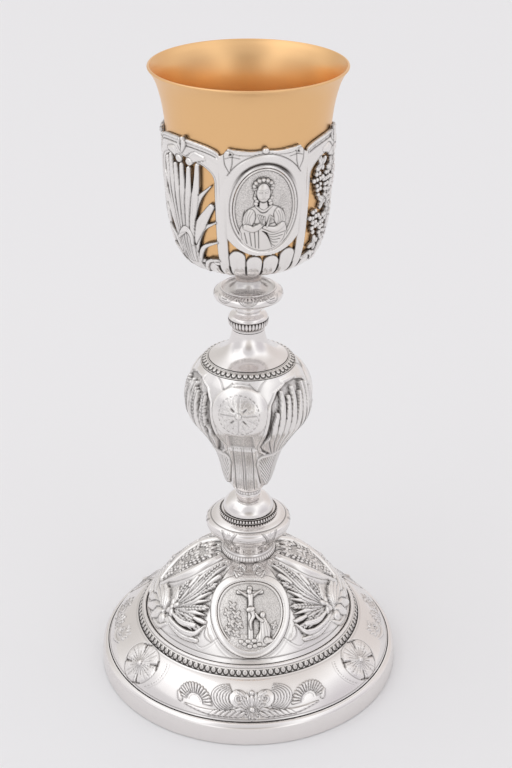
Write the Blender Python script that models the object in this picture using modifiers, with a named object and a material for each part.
"""Silver altar chalice: gilt cup in a pierced false cup, turned stem with a pear-shaped knot, domed foot.

All the pieces are threaded on one tie rod and drawn together by a nut under the foot. The origin is the
centre of the foot's underside, +Z is up, and the front faces -Y. Lengths below are in millimetres.
"""

import math

import bmesh
import bpy
from mathutils import Matrix, Vector

MM = 0.001
GAP = 0.3  # clearance left between pieces that touch
STEPS = 36  # facets round the wide pieces
STEM_STEPS = 24  # facets round the narrow pieces

# Driving dimensions
FOOT_RADIUS = 75.0
LIP_HEIGHT = 305.9  # outer edge of the lip, whose wall rises to 306.5
LIP_RADIUS = 43.2
CUP_WALL = 1.0
FALSE_CUP_WALL = 0.7
SHEET = 0.9  # thickness of the raised pieces of stem and foot
ROD_RADIUS = 3.0
BORE = 3.4  # radius of the hole in each piece that the rod passes through
TUBE_RADIUS = 5.0

# The false cup and the knot repeat three times round. Azimuths start at the front and grow towards +X.
CUP_PANELS = 3
CUP_MEDALLION_AZIMUTH = 11.0
CUP_BAND_OFFSET = 30.0  # from the middle of a medallion to the upright band beside it
KNOT_BOSS_AZIMUTH = -8.5
CUP_PLAQUE = (13.8, 18.3)  # half width and half height
CUP_PLAQUE_HEIGHT = 254.2
FOOT_PLAQUE = (16.5, 17.0)
FOOT_PLAQUE_AZIMUTH = 1.5
FOOT_PLAQUE_RADIUS = 37.0
FOOT_PLAQUE_HEIGHT = 47.5
FOOT_PLAQUE_TILT = 43.0

# Bolted stack under the foot: an M6 nut on a rod of 1 mm pitch
FOOT_WEB_TOP = 61.2
WASHER_RADIUS = 12.0
WASHER_THICKNESS = 1.6
NUT_ACROSS_FLATS = 10.0
NUT_THICKNESS = 5.4
NUT_TRAVEL = 12.0

SILVER = ("silver", (0.88, 0.87, 0.86), 0.14)
OXIDISED = ("oxidised_silver", (0.60, 0.59, 0.57), 0.38)
GILT = ("silver_gilt", (0.86, 0.66, 0.34), 0.34)
BRASS = ("brass", (0.72, 0.58, 0.30), 0.35)

parts = None
cutters = None


def clear_scene():
    for obj in list(bpy.data.objects):
        bpy.data.objects.remove(obj, do_unlink=True)


def new_collection(name):
    collection = bpy.data.collections.new(name)
    bpy.context.scene.collection.children.link(collection)
    return collection


def material(finish):
    name, color, roughness = finish
    found = bpy.data.materials.get(name)
    if found:
        return found
    made = bpy.data.materials.new(name)
    made.use_nodes = True
    shader = made.node_tree.nodes["Principled BSDF"]
    shader.inputs["Base Color"].default_value = (*color, 1.0)
    shader.inputs["Roughness"].default_value = roughness
    shader.inputs["Metallic"].default_value = 1.0
    return made


def add_part(name, mesh, finish):
    obj = bpy.data.objects.new(name, mesh)
    obj.data.materials.append(material(finish))
    parts.objects.link(obj)
    return obj


def add_cutter(name, mesh):
    obj = bpy.data.objects.new(name, mesh)
    obj.hide_render = True
    obj.display_type = "WIRE"
    cutters.objects.link(obj)
    return obj


def offset_in(profile, distance):
    """The profile moved towards its inner side, which is on the right of one that runs down."""
    moved = []
    for i, (radius, height) in enumerate(profile):
        r0, z0 = profile[max(i - 1, 0)]
        r1, z1 = profile[min(i + 1, len(profile) - 1)]
        run = math.hypot(r1 - r0, z1 - z0)
        moved.append((radius + (z1 - z0) / run * distance, height - (r1 - r0) / run * distance))
    return moved


def profile_mesh(name, profile, closed):
    mesh = bpy.data.meshes.new(name)
    points = [(radius * MM, 0.0, height * MM) for radius, height in profile]
    edges = [(i, i + 1) for i in range(len(points) - 1)]
    if closed:
        edges.append((len(points) - 1, 0))
    mesh.from_pydata(points, edges, [])
    return mesh


def turn(obj, steps):
    screw = obj.modifiers.new("Turn", "SCREW")
    screw.steps = steps
    screw.render_steps = steps
    screw.use_merge_vertices = True
    screw.merge_threshold = 0.00001
    screw.use_smooth_shade = True
    return obj


def turned_ring(name, profile, finish, steps=STEM_STEPS):
    """A solid ring from a closed outline that runs down its outer side."""
    return turn(add_part(name, profile_mesh(name, profile, True), finish), steps)


def turned_shell(name, profile, wall, finish, steps=STEM_STEPS):
    """A raised piece of sheet: the profile is its outer face, and the wall lies inside it."""
    obj = turn(add_part(name, profile_mesh(name, profile, False), finish), steps)
    return thicken(obj, wall)


def thicken(obj, wall):
    solidify = obj.modifiers.new("Wall", "SOLIDIFY")
    solidify.thickness = wall * MM
    solidify.offset = -1.0
    solidify.use_even_offset = True
    return obj


def cut(obj, cutter, operation="DIFFERENCE"):
    boolean = obj.modifiers.new(cutter.name, "BOOLEAN")
    boolean.object = cutter
    boolean.operation = operation
    boolean.solver = "EXACT"


def facing(azimuth, radius, height, tilt=0.0, lean=0.0):
    """Placement whose Z points out of the piece at this azimuth, and whose Y points up its surface.

    tilt raises Z above the horizon, and lean turns Y towards +X. All three angles are in degrees.
    """
    a = math.radians(azimuth)
    t = math.radians(tilt)
    right = Vector((math.cos(a), math.sin(a), 0.0))
    out = Vector((math.sin(a), -math.cos(a), 0.0))
    normal = out * math.cos(t) + Vector((0.0, 0.0, math.sin(t)))
    up = Vector((0.0, 0.0, math.cos(t))) - out * math.sin(t)
    turned = Matrix((right, up, normal)).transposed().to_4x4()
    place = Matrix.Translation((out * radius + Vector((0.0, 0.0, height))) * MM)
    return place @ turned @ Matrix.Rotation(math.radians(-lean), 4, "Z")


def add_oval(bm, place, half_width, half_height, depth, sides):
    size = Matrix.Diagonal((half_width * MM, half_height * MM, depth * MM, 1.0))
    bmesh.ops.create_cone(
        bm, cap_ends=True, segments=sides, radius1=1.0, radius2=1.0, depth=1.0, matrix=place @ size
    )


def bmesh_to_mesh(bm, name):
    mesh = bpy.data.meshes.new(name)
    bm.to_mesh(mesh)
    bm.free()
    return mesh


# Outer faces, running down

BOWL = [
    (37.2, 281.2), (36.8, 269.0), (36.3, 257.0), (35.6, 248.0), (34.7, 240.0), (33.4, 232.5),
    (30.8, 225.5), (27.0, 221.5), (21.0, 218.6), (12.0, 215.2),
]  # fmt: skip
BOWL_FLOOR = 214.3
FLANGE_TOP = 216.7
CUP_FLOOR = FLANGE_TOP + GAP

KNOT = [
    (22.3, 166.5), (25.3, 162.0), (28.0, 156.0), (29.2, 149.5), (28.9, 144.5), (27.4, 140.0),
    (24.2, 135.5), (20.4, 130.0), (17.2, 124.5), (14.8, 119.0), (13.2, 113.5), (12.0, 108.0),
    (10.4, 103.0), (8.2, 99.8),
]  # fmt: skip

DOME = [
    (13.5, FOOT_WEB_TOP), (20.0, 59.6), (25.0, 57.3), (31.0, 52.7), (38.0, 46.3), (45.0, 39.5),
    (49.4, 33.5), (51.5, 29.4),
]  # fmt: skip


def false_cup_profile():
    return [*BOWL, (9.0, BOWL_FLOOR), (BORE, BOWL_FLOOR)]


def build_cup():
    """Gilt bowl: a flared lip over straight sides, with a round bottom that follows the false cup."""
    lip = [(LIP_RADIUS, LIP_HEIGHT), (41.3, 303.2), (39.4, 299.0), (37.6, 292.0), (36.5, 285.0)]
    below = offset_in(BOWL, FALSE_CUP_WALL + GAP)[:-1]
    profile = [*lip, *below, (11.5, CUP_FLOOR), (0.0, CUP_FLOOR)]
    return turned_shell("cup", profile, CUP_WALL, GILT, STEPS)


def build_tie_rod():
    """Rod with the flange that is soldered under the cup. It ends below the nut's full travel."""
    flange_bottom = BOWL_FLOOR + FALSE_CUP_WALL + GAP
    profile = [
        (0.0, FLANGE_TOP),
        (9.0, FLANGE_TOP),
        (9.0, flange_bottom),
        (ROD_RADIUS, flange_bottom),
        (ROD_RADIUS, rod_end() + 0.6),
        (ROD_RADIUS - 0.6, rod_end()),
        (0.0, rod_end()),
    ]
    obj = add_part("tie_rod", profile_mesh("tie_rod", profile, False), BRASS)
    return turn(obj, STEM_STEPS)


def washer_top():
    return FOOT_WEB_TOP - SHEET - GAP


def nut_top():
    return washer_top() - WASHER_THICKNESS - GAP


def rod_end():
    return nut_top() - NUT_THICKNESS - NUT_TRAVEL - 1.0


def cup_medallion_azimuths():
    return [CUP_MEDALLION_AZIMUTH + k * 360.0 / CUP_PANELS for k in range(CUP_PANELS)]


def false_cup_cutter():
    """Everything pierced out of the false cup, as separate solids in one mesh."""
    bm = bmesh.new()
    for middle in cup_medallion_azimuths():
        half_width, half_height = CUP_PLAQUE
        add_oval(bm, facing(middle, 36.0, CUP_PLAQUE_HEIGHT), half_width + GAP, half_height + GAP, 16.0, 24)
        for side in (-1, 1):
            add_oval(bm, facing(middle + side * 20.0, 36.0, 236.0, lean=side * 18.0), 2.0, 7.0, 12.0, 8)
            notch = facing(middle + side * CUP_BAND_OFFSET, 36.0, 283.4)
            add_oval(bm, notch, 6.0, 5.8, 12.0, 12)
        plants = middle + 180.0 / CUP_PANELS
        for leaf in range(-2, 3):
            place = facing(plants + leaf * 9.5, 36.0, 252.0, lean=leaf * 5.0)
            add_oval(bm, place, 1.7, 17.0, 12.0, 8)
    return add_cutter("false_cup_piercings", bmesh_to_mesh(bm, "false_cup_piercings"))


def build_false_cup():
    obj = turned_shell("false_cup", false_cup_profile(), FALSE_CUP_WALL, SILVER, STEPS)
    cut(obj, false_cup_cutter())
    return obj


def build_cup_plaques():
    """Three oval plaques curved to the false cup's wall, each inside its own opening."""
    for number, azimuth in enumerate(cup_medallion_azimuths(), 1):
        name = f"cup_plaque_{number}"
        plaque = turned_shell(name, BOWL[:-3], FALSE_CUP_WALL, OXIDISED, STEPS)
        bm = bmesh.new()
        add_oval(bm, facing(azimuth, 36.0, CUP_PLAQUE_HEIGHT), *CUP_PLAQUE, 16.0, 24)
        cut(plaque, add_cutter(name + "_outline", bmesh_to_mesh(bm, name + "_outline")), "INTERSECT")


def build_upper_collar():
    """Waisted neck rising from a small dished collar, all one turning."""
    waist = [(8.6, 214.0), (6.3, 211.0), (5.7, 208.0), (6.8, 205.0), (9.6, 203.3)]
    rim = [(12.4, 204.2), (13.6, 203.9), (15.4, 202.6), (16.05, 201.2), (15.4, 199.2)]
    under = [(12.6, 197.7), (8.4, 196.6), (6.0, 195.3)]
    return turned_ring("upper_collar", [*waist, *rim, *under, (BORE, 195.3), (BORE, 214.0)], SILVER)


def build_neck_ring():
    outer = [
        (5.8, 195.0), (6.3, 194.3), (6.3, 193.2), (5.9, 192.2), (8.6, 190.5), (9.2, 189.2), (9.2, 187.4),
        (7.9, 184.8), (7.6, 183.3),
    ]  # fmt: skip
    return turned_ring("neck_ring", [*outer, (BORE, 183.3), (BORE, 195.0)], SILVER)


def build_knot_cap():
    flare = [(7.6, 183.0), (8.2, 178.6), (10.2, 174.4), (14.0, 171.3), (18.5, 169.3)]
    return turned_shell("knot_cap", [(TUBE_RADIUS + GAP, 183.0), *flare], SHEET, SILVER)


def build_knot_frieze():
    section = [(18.9, 169.1), (22.3, 167.3), (22.3, 166.8), (18.9, 166.8)]
    return turned_ring("knot_frieze", section, SILVER, STEPS)


def build_knot_shell():
    """Pear-shaped shell with three flattened domes standing out of its shoulder."""
    profile = [(TUBE_RADIUS + GAP, 166.5), *KNOT, (TUBE_RADIUS + GAP, 99.8)]
    hollow = offset_in(KNOT, SHEET)
    hollow = [(TUBE_RADIUS + GAP, 165.6), (hollow[0][0] - 1.0, 165.6), *hollow[1:-1], (TUBE_RADIUS + GAP, 100.7)]
    shell = turned_ring("knot_shell", profile, SILVER, STEPS)
    bosses = bmesh.new()
    for k in range(3):
        place = facing(KNOT_BOSS_AZIMUTH + 120.0 * k, 26.2, 151.0, tilt=4.0)
        size = Matrix.Diagonal((12.5 * MM, 13.5 * MM, 4.6 * MM, 1.0))
        bmesh.ops.create_uvsphere(bosses, u_segments=12, v_segments=8, radius=1.0, matrix=place @ size)
    cut(shell, add_cutter("knot_bosses", bmesh_to_mesh(bosses, "knot_bosses")), "UNION")
    cut(shell, turn(add_cutter("knot_hollow", profile_mesh("knot_hollow", hollow, True)), STEPS))
    return shell


def build_spacer_tube():
    top, bottom = 183.0, 99.8
    section = [(TUBE_RADIUS, top), (TUBE_RADIUS, bottom), (BORE, bottom), (BORE, top)]
    return turned_ring("spacer_tube", section, BRASS)


def build_knot_base_ring():
    section = [(5.7, 99.5), (6.1, 99.0), (6.1, 95.0), (5.7, 94.4), (BORE, 94.4), (BORE, 99.5)]
    return turned_ring("knot_base_ring", section, SILVER)


def build_lower_spool():
    dome = [(BORE, 94.1), (6.2, 94.1), (9.0, 92.6), (11.2, 90.2), (12.3, 88.2), (12.5, 86.7)]
    return turned_shell("lower_spool", dome, SHEET, SILVER)


def build_bead_ring():
    section = [(12.9, 86.4), (13.7, 86.2), (14.3, 85.4), (14.3, 84.4), (11.6, 84.4), (11.6, 86.4)]
    return turned_ring("bead_ring", section, SILVER)


def build_lower_knop():
    swell = [(BORE, 84.1), (14.3, 84.1), (18.8, 82.5), (20.8, 79.5), (20.3, 76.4), (17.4, 73.2), (12.6, 70.6)]
    return turned_shell("lower_knop", swell, SHEET, SILVER, STEPS)


def build_foot_collar():
    """Neck and gadroon ring between the lower knop and the foot, bored wide so that it is light."""
    outer = [(12.4, 70.0), (12.1, 68.0), (11.8, 66.0), (12.2, 64.6), (13.3, 63.2), (13.4, 61.5)]
    return turned_ring("foot_collar", [*outer, (9.0, 61.5), (9.0, 70.0)], SILVER, STEPS)


def build_foot_dome():
    return turned_shell("foot_dome", [(BORE, FOOT_WEB_TOP), *DOME], SHEET, SILVER, STEPS)


def build_foot_plaques():
    """Oval plaques laid on the dome's slope at the front and the back."""
    raised = offset_in(DOME[1:-1], -(GAP + SHEET))
    for name, turned in (("foot_plaque_front", 0.0), ("foot_plaque_back", 180.0)):
        plaque = turned_shell(name, raised, SHEET, OXIDISED, STEPS)
        bm = bmesh.new()
        azimuth = FOOT_PLAQUE_AZIMUTH + turned
        place = facing(azimuth, FOOT_PLAQUE_RADIUS, FOOT_PLAQUE_HEIGHT, FOOT_PLAQUE_TILT)
        add_oval(bm, place, *FOOT_PLAQUE, 30.0, 24)
        cut(plaque, add_cutter(name + "_outline", bmesh_to_mesh(bm, name + "_outline")), "INTERSECT")


def build_foot_wire_ring():
    """Plain round wire, six-sided in section."""
    radius, height, wire = 52.8, 28.8, 0.9
    angles = [math.radians(90.0 - 60.0 * side) for side in range(6)]
    section = [(radius + wire * math.cos(a), height + wire * math.sin(a)) for a in angles]
    return turned_ring("foot_wire_ring", section, SILVER, STEPS)


def build_foot_frieze():
    section = [(54.0, 28.2), (55.4, 26.7), (55.7, 26.1), (55.7, 25.1), (54.0, 27.0)]
    return turned_ring("foot_frieze", section, SILVER, STEPS)


def build_foot_rim():
    slope = [
        (56.6, 24.8), (58.8, 23.6), (61.5, 21.8), (64.2, 19.7), (66.7, 17.3), (68.9, 14.8), (70.4, 12.8),
        (71.3, 11.2),
    ]  # fmt: skip
    return turned_shell("foot_rim", slope, SHEET, SILVER, STEPS)


def build_base_band():
    """Upright band with a narrow flange at its top and a flat flange at its foot, which it stands on."""
    outer = [
        (71.9, 10.8), (73.2, 10.4), (74.2, 9.2), (74.8, 6.0), (FOOT_RADIUS, 3.0), (FOOT_RADIUS, 0.0), (71.4, 0.0),
    ]  # fmt: skip
    inner = [
        (71.4, SHEET), (FOOT_RADIUS - SHEET, SHEET), (FOOT_RADIUS - SHEET, 3.0), (73.9, 6.0), (73.3, 8.8),
        (72.8, 9.5), (71.9, 9.9),
    ]  # fmt: skip
    return turned_ring("base_band", [*outer, *inner], SILVER, STEPS)


def build_clamp_washer():
    top = washer_top()
    bottom = top - WASHER_THICKNESS
    section = [(WASHER_RADIUS, top), (WASHER_RADIUS, bottom), (BORE, bottom), (BORE, top)]
    return turned_ring("clamp_washer", section, BRASS)


def build_nut():
    corner_radius = NUT_ACROSS_FLATS / 2 / math.cos(math.radians(30.0))
    middle = nut_top() - NUT_THICKNESS / 2
    bm = bmesh.new()
    add_oval(bm, Matrix.Translation((0.0, 0.0, middle * MM)), corner_radius, corner_radius, NUT_THICKNESS, 6)
    nut = add_part("nut", bmesh_to_mesh(bm, "nut"), BRASS)
    hole = bmesh.new()
    add_oval(hole, Matrix.Translation((0.0, 0.0, middle * MM)), BORE, BORE, NUT_THICKNESS + 4.0, STEM_STEPS)
    cut(nut, add_cutter("nut_hole", bmesh_to_mesh(hole, "nut_hole")))
    return nut


def main():
    global parts, cutters
    clear_scene()
    parts = new_collection("Communion chalice")
    cutters = new_collection("Cutters")
    build_cup()
    build_tie_rod()
    build_false_cup()
    build_cup_plaques()
    build_upper_collar()
    build_neck_ring()
    build_knot_cap()
    build_knot_frieze()
    build_knot_shell()
    build_spacer_tube()
    build_knot_base_ring()
    build_lower_spool()
    build_bead_ring()
    build_lower_knop()
    build_foot_collar()
    build_foot_dome()
    build_foot_plaques()
    build_foot_wire_ring()
    build_foot_frieze()
    build_foot_rim()
    build_base_band()
    build_clamp_washer()
    build_nut()


main()
